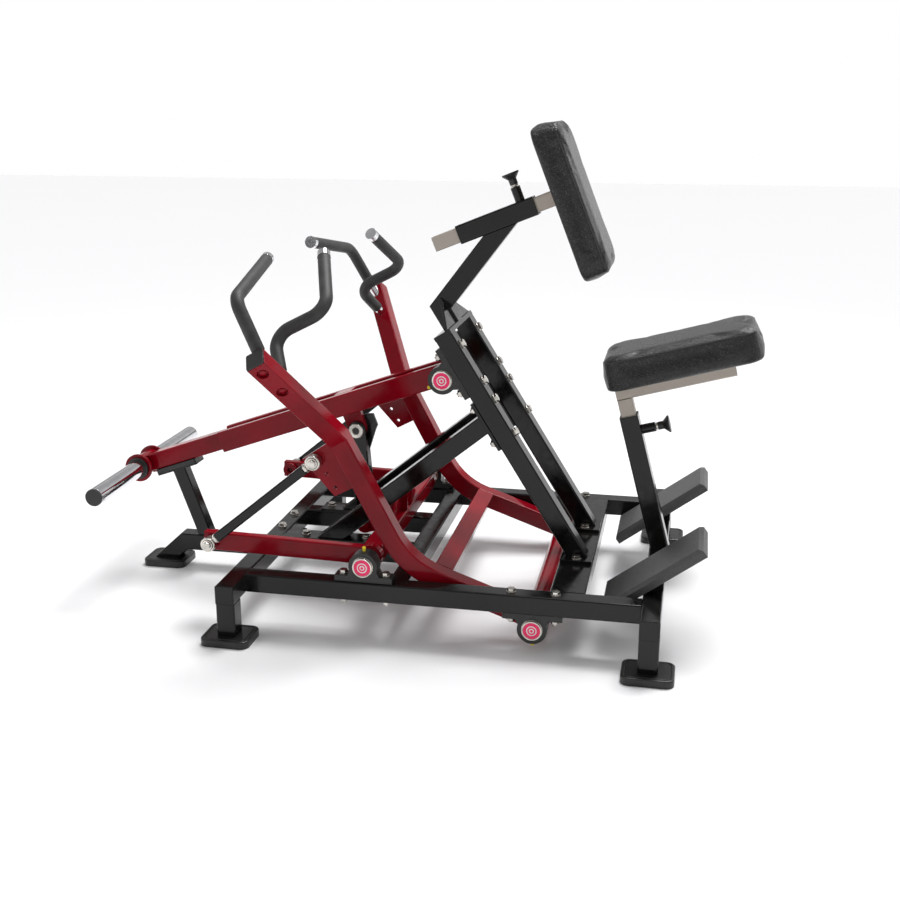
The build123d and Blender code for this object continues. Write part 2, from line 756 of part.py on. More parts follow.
with BuildPart() as bearing_caps:
    for centre, way, y in bearing_places:
        outward = 1 if y > 0 else -1
        face = y + outward * bearing_width / 2
        shaft(centre, cap_radius, min(face, face + outward * cap_height),
              max(face, face + outward * cap_height))
bearing_caps.part.label = "bearing_caps"
export_step(bearing_caps.part, "parts/bearing_caps.step")

with BuildPart() as grease_nipples:
    for centre, way, y in bearing_places:
        out = heading(way)
        with Locations(Plane(origin=at(centre, y) + out * bearing_round, z_dir=out)):
            Cylinder(nipple_radius, nipple_height, align=(Align.CENTER, Align.CENTER, Align.MIN))
            with Locations((0, 0, nipple_height + 1)):
                Sphere(nipple_radius + 1)
grease_nipples.part.label = "grease_nipples"
export_step(grease_nipples.part, "parts/grease_nipples.step")

with BuildPart() as frame_bolts:
    hex_bolts(rail_bolts + upright_bolts + floor_plate_bolts + stand_bolts)
frame_bolts.part.label = "frame_bolts"
export_step(frame_bolts.part, "parts/frame_bolts.step")

cap_side = tube - 2 * tube_cap_inset
with BuildPart() as frame_end_caps:
    for station in corner_stations:
        for y in both(frame_half_width):
            outward = 1 if y > 0 else -1
            with Locations(at(Vector(station, rail_middle), y + outward * frame_cap_lip / 2)):
                Box(cap_side, frame_cap_lip, cap_side)
frame_end_caps.part.label = "frame_end_caps"
export_step(frame_end_caps.part, "parts/frame_end_caps.step")

# ---------------------------------------------------------------- pull arms
low_way = 180 - arm_low_slope
high_way = 180 - arm_high_slope
arm_start = arm_pivot - turned(low_way, arm_tail)
arm_corner = arm_pivot + turned(low_way, arm_low_run)
arm_crease = arm_corner + turned(high_way, arm_high_run)


def on_arm(rise, behind=0.0):
    """Place on the arm's straight upper length, from its crease, and a distance behind its centre line."""
    return arm_crease + turned(high_way, rise, behind)


rod_upper_pin = on_arm(-rod_pin_below_crease, rod_pin_behind_arm)
high_heading = heading(high_way)
splay_heading = (heading(180 - arm_top_slope) * cos(radians(arm_splay_turn))
                 - Vector(0, sin(radians(arm_splay_turn)), 0))
crease_place = at(arm_crease, -arm_y)
crease_normal = high_heading + splay_heading
# The inner face of the splayed top is the straight length's inner face mirrored in the crease.
crease_unit = crease_normal.normalized()
arm_inward = Vector(0, 1, 0) - crease_unit * (2 * crease_unit.Y)
arm_front = arm_inward.cross(splay_heading)
arm_top_place = crease_place + splay_heading * arm_top_run
arm_top_plane = Plane(origin=arm_top_place, x_dir=arm_inward, z_dir=splay_heading)


def inner_face(drop):
    """Plane on the inner face of the left arm's splayed top, at a distance below its end."""
    return Plane(origin=arm_top_place - splay_heading * drop + arm_inward * (tube / 2),
                 x_dir=arm_front, z_dir=arm_inward)


with BuildPart() as left_arm:
    with BuildLine():
        arm_line = FilletPolyline(at(arm_start, -arm_y), at(arm_corner, -arm_y), at(on_arm(tube), -arm_y),
                                  radius=arm_bend_radius)
    with BuildSketch(Plane(origin=arm_line @ 0, x_dir=(0, 1, 0), z_dir=arm_line % 0)):
        tube_section()
    sweep()
    split(bisect_by=Plane(origin=crease_place, z_dir=crease_normal), keep=Keep.BOTTOM)
    mitred = left_arm.faces().sort_by(Axis(crease_place, crease_normal))[-1]
    extrude(mitred, amount=arm_top_run + tube, dir=splay_heading)
    split(bisect_by=arm_top_plane, keep=Keep.BOTTOM)
    shaft(arm_pivot, axle_radius + running_fit, -arm_y - tube, -arm_y + tube, Mode.SUBTRACT)
    for drop in (outer_grip_drop, inner_grip_drop):
        with Locations(inner_face(drop).offset(-tube)):
            Cylinder(access_hole_radius, 3 * wall, mode=Mode.SUBTRACT)
left_arm.part.label = "left_arm"
export_step(left_arm.part, "parts/left_arm.step")

with BuildPart() as right_arm:
    mirror(left_arm.part, about=Plane.XZ)
right_arm.part.label = "right_arm"
export_step(right_arm.part, "parts/right_arm.step")

arm_cross_middle = arm_pivot + turned(low_way, arm_cross_tube_run)
with BuildPart() as arm_cross_tube:
    with BuildSketch(Plane(origin=at(arm_cross_middle, -arm_inner_y), x_dir=heading(low_way),
                           z_dir=(0, 1, 0))):
        tube_section()
    extrude(amount=2 * arm_inner_y)
arm_cross_tube.part.label = "arm_cross_tube"
export_step(arm_cross_tube.part, "parts/arm_cross_tube.step")

with BuildPart() as arm_pivot_tube:
    shaft(arm_pivot, pivot_tube_radius, -arm_inner_y, arm_inner_y)
    shaft(arm_pivot, pivot_tube_radius - pivot_tube_wall, -arm_inner_y, arm_inner_y, Mode.SUBTRACT)
arm_pivot_tube.part.label = "arm_pivot_tube"
export_step(arm_pivot_tube.part, "parts/arm_pivot_tube.step")

arm_axle_end = rail_y + bearing_width / 2 - axle_end_gap
collar_end = rail_y - bearing_width / 2 - collar_gap
with BuildPart() as arm_axle:
    shaft(arm_pivot, axle_radius, -arm_axle_end, arm_axle_end)
    shaft(arm_pivot, collar_radius, arm_y + tube / 2, collar_end)
    shaft(arm_pivot, collar_radius, -collar_end, -arm_y - tube / 2)
arm_axle.part.label = "arm_axle"
export_step(arm_axle.part, "parts/arm_axle.step")

gusset_outline = [on_arm(gusset_edge_slant, tube / 2), on_arm(-gusset_edge_slant, gusset_high_reach),
                  on_arm(-gusset_drop, gusset_low_reach), on_arm(-gusset_drop, tube / 2)]
gusset_holes = (on_arm(-67, 76), on_arm(-109, 73))
with BuildPart() as arm_gussets:
    for y in both(arm_y):
        plate(gusset_outline, y - gusset_thickness / 2, gusset_thickness)
        low_y = y - gusset_thickness
        shaft(rod_upper_pin, pin_radius + running_fit, low_y, y + gusset_thickness, Mode.SUBTRACT)
        for hole in gusset_holes:
            shaft(hole, gusset_hole_radius, low_y, y + gusset_thickness, Mode.SUBTRACT)
arm_gussets.part.label = "arm_gussets"
export_step(arm_gussets.part, "parts/arm_gussets.step")

with BuildPart() as arm_end_caps:
    with BuildSketch(arm_top_plane):
        RectangleRounded(cap_side, cap_side, corner)
    with BuildSketch(Plane(origin=at(arm_start, -arm_y), x_dir=(0, 1, 0), z_dir=-heading(low_way))):
        RectangleRounded(cap_side, cap_side, corner)
    extrude(amount=tube_cap_thickness)
    mirror(about=Plane.XZ)
arm_end_caps.part.label = "arm_end_caps"
export_step(arm_end_caps.part, "parts/arm_end_caps.step")

# ---------------------------------------------------------------- grips
# Corners of the two grips of the left arm, from the arm's crease.
outer_grip = [crease_place + Vector(-202, -156, 376), crease_place + Vector(-230, 155, 431)]
inner_grip = [crease_place + Vector(-147, -48, 269), crease_place + Vector(-6, -56, 341),
              crease_place + Vector(-62, 109, 453)]
grips = ((inner_face(outer_grip_drop), outer_grip), (inner_face(inner_grip_drop), inner_grip))
foam_start = 20.0


def grip_line(points, trim_start, trim_end):
    """Centre line of a grip through its corners, its two ends shortened or, below zero, lengthened."""
    first_way = (points[1] - points[0]).normalized()
    last_way = (points[-1] - points[-2]).normalized()
    ends = [points[0] + first_way * trim_start, points[-1] - last_way * trim_end]
    with BuildLine() as line:
        FilletPolyline(ends[0], *points[1:-1], ends[1], radius=grip_bend)
    return line.wire()


def ring_sweep(line, radius, bore=0.0):
    """Round bar or tube along a line."""
    with BuildSketch(Plane(origin=line @ 0, z_dir=line % 0)) as ring:
        Circle(radius)
        if bore:
            Circle(bore, mode=Mode.SUBTRACT)
    sweep(ring.sketch, path=line)


with BuildPart() as grip_bars:
    for face, corners in grips:
        ring_sweep(grip_line([face.origin, *corners], -tube / 2, 0), grip_bar_radius)
    for face, corners in grips:
        split(bisect_by=face, keep=Keep.TOP)
    mirror(about=Plane.XZ)
grip_bars.part.label = "grip_bars"
export_step(grip_bars.part, "parts/grip_bars.step")

with BuildPart() as grip_foams:
    for face, corners in grips:
        line = grip_line([face.origin, *corners], foam_start, grip_cap_length)
        ring_sweep(line, grip_foam_radius, grip_bar_radius + grip_fit)
    mirror(about=Plane.XZ)
grip_foams.part.label = "grip_foams"
export_step(grip_foams.part, "parts/grip_foams.step")

with BuildPart() as grip_end_caps:
    for face, corners in grips:
        line = grip_line([face.origin, *corners], 0, 0)
        end = Plane(origin=line @ 1, z_dir=line % 1)
        with Locations(end.offset(3)):
            Cylinder(grip_cap_radius, grip_cap_length + 3 - grip_fit,
                     align=(Align.CENTER, Align.CENTER, Align.MAX))
        with Locations(end):
            Cylinder(grip_bar_radius + grip_fit, grip_cap_length, mode=Mode.SUBTRACT,
                     align=(Align.CENTER, Align.CENTER, Align.MAX))
    mirror(about=Plane.XZ)
grip_end_caps.part.label = "grip_end_caps"
export_step(grip_end_caps.part, "parts/grip_end_caps.step")

# ---------------------------------------------------------------- rocker
lever_way = 180 - lever_rise
rod_lower_pin = rocker_pivot + turned(lever_way, lever_reach)
with BuildPart() as rocker_levers:
    for y in both(lever_y):
        straight_tube(rocker_pivot, rod_lower_pin + turned(lever_way, lever_tail), y,
                      lever_thickness, lever_height)
        shaft(rocker_pivot, lever_boss_radius, y - lever_thickness / 2, y + lever_thickness / 2)
    shaft(rocker_pivot, axle_radius + running_fit, -rail_y, rail_y, Mode.SUBTRACT)
rocker_levers.part.label = "rocker_levers"
export_step(rocker_levers.part, "parts/rocker_levers.step")

with BuildPart() as rocker_tube:
    with BuildSketch(Plane(origin=at(rocker_pivot, -arm_inner_y), x_dir=heading(lever_way),
                           z_dir=(0, 1, 0))):
        tube_section(rocker_tube_side, rocker_tube_side)
    extrude(amount=2 * arm_inner_y)
rocker_tube.part.label = "rocker_tube"
export_step(rocker_tube.part, "parts/rocker_tube.step")

link_low_pin = rocker_pivot + turned(lever_way, link_pin_reach, link_pin_drop)
link_high_pin = on_weight_arm(lug_run, lug_drop)
lug_inner_y = link_width / 2 + open_gap
half_tube = rocker_tube_side / 2
lug_side = turned(lever_way, 0, rocker_lug_radius)
with BuildPart() as rocker_lugs:
    for y_low in (lug_inner_y, -lug_inner_y - rocker_lug_thickness):
        plate([link_low_pin + lug_side, link_low_pin - lug_side,
               rocker_pivot + turned(lever_way, half_tube, -half_tube - rocker_web_thickness),
               rocker_pivot + turned(lever_way, half_tube, half_tube + rocker_web_thickness)],
              y_low, rocker_lug_thickness)
        plate([rocker_pivot + turned(lever_way, half_tube, -half_tube),
               rocker_pivot + turned(lever_way, half_tube, -half_tube - rocker_web_thickness),
               rocker_pivot + turned(lever_way, 6, -rocker_web_height),
               rocker_pivot + turned(lever_way, -half_tube, -rocker_web_height),
               rocker_pivot + turned(lever_way, -half_tube, -half_tube)],
              y_low, rocker_lug_thickness)
        shaft(link_low_pin, rocker_lug_radius, y_low, y_low + rocker_lug_thickness)
    lug_outer_y = lug_inner_y + rocker_lug_thickness
    shaft(link_low_pin, pin_head_radius, lug_outer_y, lug_outer_y + pin_head_thickness)
    shaft(link_low_pin, pin_head_radius, -lug_outer_y - pin_head_thickness, -lug_outer_y)
    with BuildSketch(Plane(origin=at(rocker_pivot + turned(lever_way, -rocker_web_thickness)),
                           x_dir=(0, 1, 0), z_dir=heading(lever_way))) as web:
        with BuildLine():
            Polyline((lug_outer_y, -half_tube), (lug_outer_y, -rocker_web_height),
                     (rocker_web_reach, -half_tube), close=True)
        make_face()
        mirror(about=Plane.YZ)
    extrude(web.sketch, amount=rocker_web_thickness)
rocker_lugs.part.label = "rocker_lugs"
export_step(rocker_lugs.part, "parts/rocker_lugs.step")

with BuildPart() as rocker_axle:
    shaft(rocker_pivot, axle_radius, -arm_axle_end, arm_axle_end)
    shaft(rocker_pivot, collar_radius, arm_inner_y + lever_thickness, collar_end)
    shaft(rocker_pivot, collar_radius, -collar_end, -arm_inner_y - lever_thickness)
rocker_axle.part.label = "rocker_axle"
export_step(rocker_axle.part, "parts/rocker_axle.step")

# ---------------------------------------------------------------- side rods
rod_way = (rod_lower_pin - rod_upper_pin).normalized()
with BuildPart() as side_rods:
    for y in both(rod_y):
        first = at(rod_upper_pin + rod_way * rod_neck, y)
        run = at(rod_lower_pin - rod_way * rod_neck, y) - first
        with BuildSketch(Plane(origin=first, x_dir=(0, 1, 0), z_dir=run)) as section:
            RectangleRounded(rod_side, rod_side, rod_corner)
        extrude(section.sketch, amount=run.length)
side_rods.part.label = "side_rods"
export_step(side_rods.part, "parts/side_rods.step")

rod_inner_y = rod_y - rod_end_width / 2
rod_outer_y = rod_y + rod_end_width / 2
gusset_inner_y = arm_y - gusset_thickness / 2
with BuildPart() as rod_ends:
    for pin, way in ((rod_upper_pin, rod_way), (rod_lower_pin, -rod_way)):
        shaft(pin, rod_end_radius, rod_inner_y, rod_outer_y)
        shaft(pin, pin_head_radius, rod_outer_y, rod_outer_y + rod_cap_thickness)
        with Locations(Plane(origin=at(pin, rod_y), z_dir=Vector(way.X, 0, way.Y))):
            Cylinder(rod_neck_radius, rod_neck, align=(Align.CENTER, Align.CENTER, Align.MIN))
    nut_y = gusset_inner_y - head_clearance
    shaft(rod_upper_pin, pin_radius, nut_y - pin_head_thickness, rod_y)
    shaft(rod_upper_pin, pin_head_radius, nut_y - pin_head_thickness, nut_y)
    shaft(rod_lower_pin, pin_radius, arm_inner_y + lever_thickness + open_gap, rod_y)
    mirror(about=Plane.XZ)
rod_ends.part.label = "rod_ends"
export_step(rod_ends.part, "parts/rod_ends.step")

# ---------------------------------------------------------------- centre link
link_way = (link_high_pin - link_low_pin).normalized()
link_across = Vector(link_way.Y, -link_way.X)
cheek_inner_y = link_width / 2 - cheek_thickness


def near_high_pin(down_link, across):
    return link_high_pin - link_way * down_link + link_across * across


with BuildPart() as centre_link:
    straight_tube(link_low_pin, link_high_pin - link_way * fork_depth, 0, link_width, link_depth)
    shaft(link_low_pin, link_depth / 2, -link_width / 2, link_width / 2)
    half_depth = link_depth / 2
    near_cheek = [near_high_pin(fork_root, -half_depth), near_high_pin(0, -half_depth),
                  near_high_pin(0, half_depth), near_high_pin(fork_root, half_depth)]
    far_cheek = [near_high_pin(fork_root, -half_depth), near_high_pin(0, -half_depth),
                 near_high_pin(-20, -6), near_high_pin(-40, 20), near_high_pin(-40, 44),
                 near_high_pin(-6, 54), near_high_pin(10, 46), near_high_pin(fork_root, half_depth)]
    plate(near_cheek, -link_width / 2, cheek_thickness)
    shaft(link_high_pin, half_depth, -link_width / 2, -cheek_inner_y)
    plate(far_cheek, cheek_inner_y, cheek_thickness)
    shaft(link_high_pin, half_depth, cheek_inner_y, link_width / 2)
    shaft(link_high_pin, pin_radius + running_fit, -link_width, link_width, Mode.SUBTRACT)
centre_link.part.label = "centre_link"
export_step(centre_link.part, "parts/centre_link.step")

with BuildPart() as centre_link_pins:
    shaft(link_high_pin, pin_radius, -link_width / 2, link_width / 2)
    for y_low in (link_width / 2, -link_width / 2 - link_ring_thickness):
        shaft(link_high_pin, link_ring_radius, y_low, y_low + link_ring_thickness)
centre_link_pins.part.label = "centre_link_pins"
export_step(centre_link_pins.part, "parts/centre_link_pins.step")

# ---------------------------------------------------------------- weight arm
beam_inner_y = tube / 2
beam_y = beam_inner_y + beam_thickness / 2
with BuildPart() as weight_beams:
    for y in both(beam_y):
        straight_tube(on_weight_arm(-beam_tail), on_weight_arm(beam_run), y, beam_thickness, beam_height)
        shaft(weight_pivot, axle_radius + wall, y - beam_thickness / 2, y + beam_thickness / 2)
    shaft(weight_pivot, axle_radius + running_fit, -tube, tube, Mode.SUBTRACT)
weight_beams.part.label = "weight_beams"
export_step(weight_beams.part, "parts/weight_beams.step")

with BuildPart() as weight_nose_beam:
    straight_tube(on_weight_arm(beam_run - nose_overlap), horn_centre)
    shaft(horn_centre, hub_radius, -tube, tube, Mode.SUBTRACT)
weight_nose_beam.part.label = "weight_nose_beam"
export_step(weight_nose_beam.part, "parts/weight_nose_beam.step")

spacer_half = spacer_length / 2
half_beam = beam_height / 2
with BuildPart() as weight_lug:
    plate([on_weight_arm(lug_run - spacer_half, -half_beam),
           on_weight_arm(lug_run + spacer_half, -half_beam),
           on_weight_arm(lug_run + spacer_half, half_beam),
           on_weight_arm(lug_run - spacer_half, half_beam)],
          -beam_inner_y, 2 * beam_inner_y)
    plate([on_weight_arm(lug_run - spacer_half, half_beam), on_weight_arm(lug_run + spacer_half, half_beam),
           on_weight_arm(lug_run + lug_round, lug_drop), on_weight_arm(lug_run - lug_round, lug_drop)],
          -lug_thickness / 2, lug_thickness)
    shaft(link_high_pin, lug_round, -lug_thickness / 2, lug_thickness / 2)
    shaft(link_high_pin, pin_radius + running_fit, -tube, tube, Mode.SUBTRACT)
weight_lug.part.label = "weight_lug"
export_step(weight_lug.part, "parts/weight_lug.step")

horn_bore = horn_core_radius + running_fit
disc_outer_y = hub_half_width + disc_thickness
horn_root_y = disc_outer_y + bumper_thickness + horn_seat_gap
with BuildPart() as weight_hub:
    shaft(horn_centre, hub_radius, -hub_half_width, hub_half_width)
    shaft(horn_centre, disc_radius, hub_half_width, disc_outer_y)
    shaft(horn_centre, disc_radius, -disc_outer_y, -hub_half_width)
    shaft(horn_centre, horn_bore, -tube * 2, tube * 2, Mode.SUBTRACT)
weight_hub.part.label = "weight_hub"
export_step(weight_hub.part, "parts/weight_hub.step")

with BuildPart() as weight_horns:
    shaft(horn_centre, horn_core_radius, -horn_length / 2, horn_length / 2)
    shaft(horn_centre, horn_radius, horn_root_y, horn_length / 2)
    shaft(horn_centre, horn_radius, -horn_length / 2, -horn_root_y)
    shaft(horn_centre, horn_radius - horn_wall, -horn_length / 2, horn_length / 2, Mode.SUBTRACT)
weight_horns.part.label = "weight_horns"
export_step(weight_horns.part, "parts/weight_horns.step")

with BuildPart() as horn_bumpers:
    for y_low in (disc_outer_y, -disc_outer_y - bumper_thickness):
        shaft(horn_centre, bumper_radius, y_low, y_low + bumper_thickness)
    shaft(horn_centre, horn_bore, -tube * 2, tube * 2, Mode.SUBTRACT)
horn_bumpers.part.label = "horn_bumpers"
export_step(horn_bumpers.part, "parts/horn_bumpers.step")

with BuildPart() as horn_end_caps:
    for y_low in (horn_length / 2, -horn_length / 2 - horn_cap_thickness):
        shaft(horn_centre, horn_core_radius, y_low, y_low + horn_cap_thickness)
horn_end_caps.part.label = "horn_end_caps"
export_step(horn_end_caps.part, "parts/horn_end_caps.step")

weight_axle_end = upright_y + bearing_width / 2 - axle_end_gap
weight_collar_end = upright_y - bearing_width / 2 - collar_gap
with BuildPart() as weight_axle:
    shaft(weight_pivot, axle_radius, -weight_axle_end, weight_axle_end)
    shaft(weight_pivot, collar_radius, beam_inner_y + beam_thickness, weight_collar_end)
    shaft(weight_pivot, collar_radius, -weight_collar_end, -beam_inner_y - beam_thickness)
weight_axle.part.label = "weight_axle"
export_step(weight_axle.part, "parts/weight_axle.step")
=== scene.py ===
"""A plate-loaded, chest-supported seated row machine, finished around its CAD frame.

Metres. The machine runs along X, from its weight horns to its seat, and stands on the floor at Z = 0.
"""
import bmesh
import bpy
import json
import math
from mathutils import Matrix, Vector


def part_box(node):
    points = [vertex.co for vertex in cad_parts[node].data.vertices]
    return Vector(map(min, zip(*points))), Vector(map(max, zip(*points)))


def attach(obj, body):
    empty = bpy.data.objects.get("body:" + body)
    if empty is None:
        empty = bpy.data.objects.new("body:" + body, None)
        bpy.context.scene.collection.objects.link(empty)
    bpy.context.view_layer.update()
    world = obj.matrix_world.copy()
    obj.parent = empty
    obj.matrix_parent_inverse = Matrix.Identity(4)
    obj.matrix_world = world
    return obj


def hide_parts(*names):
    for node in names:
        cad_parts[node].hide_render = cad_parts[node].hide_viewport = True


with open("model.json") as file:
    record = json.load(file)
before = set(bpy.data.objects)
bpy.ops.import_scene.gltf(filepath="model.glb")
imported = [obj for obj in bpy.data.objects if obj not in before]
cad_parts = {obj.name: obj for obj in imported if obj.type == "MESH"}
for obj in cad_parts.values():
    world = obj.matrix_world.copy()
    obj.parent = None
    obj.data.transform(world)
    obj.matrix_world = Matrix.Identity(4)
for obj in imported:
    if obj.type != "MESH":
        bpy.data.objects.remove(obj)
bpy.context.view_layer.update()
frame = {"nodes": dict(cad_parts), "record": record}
scene = bpy.context.scene


# ---------------------------------------------------------------- the studio
# A white floor and a white sweep round it, dimmer at shoulder height so that plated steel has something
# dark to mirror. Wide soft boxes hang overhead, at the user's left and behind the machine.
def stand_camera(place, turn, tip, lens):
    data = bpy.data.cameras.new("catalogue_camera")
    data.lens = lens
    data.sensor_width = 36.0
    data.clip_end = 60.0
    camera = bpy.data.objects.new("catalogue_camera", data)
    camera.location = place
    camera.rotation_euler = (math.radians(90 - tip), 0.0, math.radians(turn))
    scene.collection.objects.link(camera)
    scene.camera = camera


def soft_box(name, place, aim, width, height, power):
    data = bpy.data.lights.new(name, "AREA")
    data.shape = "RECTANGLE"
    data.size = width
    data.size_y = height
    data.energy = power
    light = bpy.data.objects.new(name, data)
    light.location = place
    light.rotation_euler = (Vector(aim) - Vector(place)).to_track_quat("-Z", "Y").to_euler()
    scene.collection.objects.link(light)


stand_camera((0.7170, -3.2093, 1.3661), 11.493, 16.433, 48.73)
soft_box("overhead_box", (0.5, 0.4, 3.4), (0.0, 0.0, 0.3), 1.6, 1.2, 26.0)
soft_box("left_box", (-2.8, -2.4, 2.2), (0.0, 0.0, 0.4), 1.4, 1.2, 12.0)
soft_box("back_box", (2.6, 2.6, 2.2), (0.0, 0.0, 0.5), 1.8, 1.4, 22.0)

# The big diffused key light stands high behind the machine, so shadows fall softly towards the viewer.
key = bpy.data.lights.new("diffused_key", "SUN")
key.energy = 3.0
key.angle = math.radians(26)
key_light = bpy.data.objects.new("diffused_key", key)
key_light.rotation_euler = Vector((-0.22, -0.5, -1.1)).to_track_quat("-Z", "Y").to_euler()
scene.collection.objects.link(key_light)

sweep = bpy.data.worlds.new("white_sweep")
sweep.use_nodes = True
tree = sweep.node_tree
way = tree.nodes.new("ShaderNodeTexCoord")
parts = tree.nodes.new("ShaderNodeSeparateXYZ")
fade = tree.nodes.new("ShaderNodeValToRGB")
fade.color_ramp.elements[0].position = 0.1
fade.color_ramp.elements[0].color = (1.0, 1.0, 1.0, 1.0)
fade.color_ramp.elements[1].position = 1.0
fade.color_ramp.elements[1].color = (0.35, 0.35, 0.36, 1.0)
for height, grey in ((0.16, 0.15), (0.22, 0.15), (0.3, 0.65), (0.5, 0.42)):
    band = fade.color_ramp.elements.new(height)
    band.color = (grey, grey, grey, 1.0)
tree.links.new(way.outputs["Generated"], parts.inputs["Vector"])
tree.links.new(parts.outputs["Z"], fade.inputs["Fac"])
tree.links.new(fade.outputs["Color"], tree.nodes["Background"].inputs["Color"])
tree.nodes["Background"].inputs["Strength"].default_value = 1.0
scene.world = sweep
scene.view_settings.view_transform = "Standard"

floor_mesh = bpy.data.meshes.new("studio_floor")
shape = bmesh.new()
bmesh.ops.create_grid(shape, x_segments=1, y_segments=1, size=16.0)
shape.to_mesh(floor_mesh)
shape.free()
studio_floor = bpy.data.objects.new("studio_floor", floor_mesh)
scene.collection.objects.link(studio_floor)
floor_paint = bpy.data.materials.new("white_floor")
floor_paint.use_nodes = True
shader = floor_paint.node_tree.nodes["Principled BSDF"]
shader.inputs["Base Color"].default_value = (0.86, 0.86, 0.87, 1.0)
shader.inputs["Roughness"].default_value = 0.3
shader.inputs["Specular IOR Level"].default_value = 0.4
shader.inputs["Emission Color"].default_value = (1.0, 1.0, 1.0, 1.0)
shader.inputs["Emission Strength"].default_value = 0.04
floor_mesh.materials.append(floor_paint)


# ---------------------------------------------------------------- black steel
# Base frame with its end plugs, tower, posts, braces and rods: square steel tube and plate, welded and powder
# coated in gloss black. The coat has a faint orange peel and pulls thin along the edges, where a lighter
# colour is also painted as a highlight.
def object_noise(tree, scale, detail):
    place = tree.nodes.new("ShaderNodeTexCoord")
    noise = tree.nodes.new("ShaderNodeTexNoise")
    noise.inputs["Scale"].default_value = scale
    noise.inputs["Detail"].default_value = detail
    tree.links.new(place.outputs["Object"], noise.inputs["Vector"])
    return noise.outputs["Fac"]


def between(tree, value, low, high, start=0.35, stop=0.65):
    """A number from low to high as the value goes from start to stop."""
    spread = tree.nodes.new("ShaderNodeMapRange")
    spread.inputs["From Min"].default_value = start
    spread.inputs["From Max"].default_value = stop
    spread.inputs["To Min"].default_value = low
    spread.inputs["To Max"].default_value = high
    tree.links.new(value, spread.inputs["Value"])
    return spread.outputs["Result"]


def shade_between(tree, value, dark, light, start=0.35, stop=0.65):
    scale = tree.nodes.new("ShaderNodeValToRGB")
    scale.color_ramp.elements[0].position = start
    scale.color_ramp.elements[0].color = (*dark, 1.0)
    scale.color_ramp.elements[1].position = stop
    scale.color_ramp.elements[1].color = (*light, 1.0)
    tree.links.new(value, scale.inputs["Fac"])
    return scale.outputs["Color"]


def rounded_edges_and_highlight_mask(tree, radius):
    """Normal that turns smoothly over sharp edges, and how far it has turned there, which the materials use
    as the mask of a painted highlight along the edges.
    """
    soft = tree.nodes.new("ShaderNodeBevel")
    soft.samples = 4
    soft.inputs["Radius"].default_value = radius
    flat = tree.nodes.new("ShaderNodeNewGeometry")
    match = tree.nodes.new("ShaderNodeVectorMath")
    match.operation = "DOT_PRODUCT"
    tree.links.new(soft.outputs["Normal"], match.inputs[0])
    tree.links.new(flat.outputs["Normal"], match.inputs[1])
    return soft.outputs["Normal"], between(tree, match.outputs["Value"], 1.0, 0.0, 0.7, 0.995)


def relief(tree, shader, height, strength, depth, normal=None):
    bump = tree.nodes.new("ShaderNodeBump")
    bump.inputs["Strength"].default_value = strength
    bump.inputs["Distance"].default_value = depth
    tree.links.new(height, bump.inputs["Height"])
    if normal:
        tree.links.new(normal, bump.inputs["Normal"])
    tree.links.new(bump.outputs["Normal"], shader.inputs["Normal"])


def over(tree, mask, under, colour):
    """The colour laid over what is under it, as far as the mask says."""
    mix = tree.nodes.new("ShaderNodeMix")
    mix.data_type = "RGBA"
    mix.inputs["B"].default_value = (*colour, 1.0)
    tree.links.new(mask, mix.inputs["Factor"])
    tree.links.new(under, mix.inputs["A"])
    return mix.outputs["Result"]


def fresh_material(name):
    material = bpy.data.materials.new(name)
    material.use_nodes = True
    return material, material.node_tree, material.node_tree.nodes["Principled BSDF"]


def powder_coat(name, deep, light, edge, gloss, shine):
    material, tree, shader = fresh_material(name)
    soft, edges = rounded_edges_and_highlight_mask(tree, 0.0012)
    coat = shade_between(tree, object_noise(tree, 7.0, 4.0), deep, light)
    # The edge colour laid along the sharp edges is a painted highlight, where the coat also pulls thin.
    tree.links.new(over(tree, edges, coat, edge), shader.inputs["Base Color"])
    tree.links.new(between(tree, object_noise(tree, 55.0, 4.0), gloss - 0.05, gloss + 0.06),
                   shader.inputs["Roughness"])
    relief(tree, shader, object_noise(tree, 850.0, 2.0), 0.1, 0.0004, soft)
    shader.inputs["Specular IOR Level"].default_value = shine
    return material


def finish(material, *names):
    """Gives CAD nodes their finish."""
    for name in names:
        slots = frame["nodes"][name].data.materials
        slots.clear()
        slots.append(material)


black_coat = powder_coat("black_powder_coat", (0.003, 0.0028, 0.0026), (0.006, 0.0056, 0.0052),
                         (0.03, 0.029, 0.028), 0.15, 0.34)
finish(black_coat, "rear_cross_member", "middle_cross_member", "wide_cross_member", "front_cross_member",
       "left_side_rail", "right_side_rail", "stringers", "corner_legs", "rear_stand_beam",
       "rear_stand_post", "uprights", "braces", "mounting_plates", "head_plate", "chest_post",
       "chest_sleeve", "seat_post", "foot_plate_brackets", "side_rods", "centre_link",
       "pull_pin_barrels", "frame_end_caps")

# ---------------------------------------------------------------- cast bearing blocks
# The six pillow blocks are grey iron castings, painted black: the same gloss over a pitted skin.
cast_black, tree, shader = fresh_material("painted_casting")
soft, edges = rounded_edges_and_highlight_mask(tree, 0.0018)
skin = shade_between(tree, object_noise(tree, 90.0, 5.0), (0.004, 0.004, 0.004), (0.011, 0.011, 0.01))
# The lighter grey along the sharp edges is a painted highlight.
tree.links.new(over(tree, edges, skin, (0.03, 0.03, 0.029)), shader.inputs["Base Color"])
tree.links.new(between(tree, object_noise(tree, 240.0, 3.0), 0.26, 0.42), shader.inputs["Roughness"])
relief(tree, shader, object_noise(tree, 420.0, 5.0), 0.35, 0.0006, soft)
finish(cast_black, "bearing_housings")
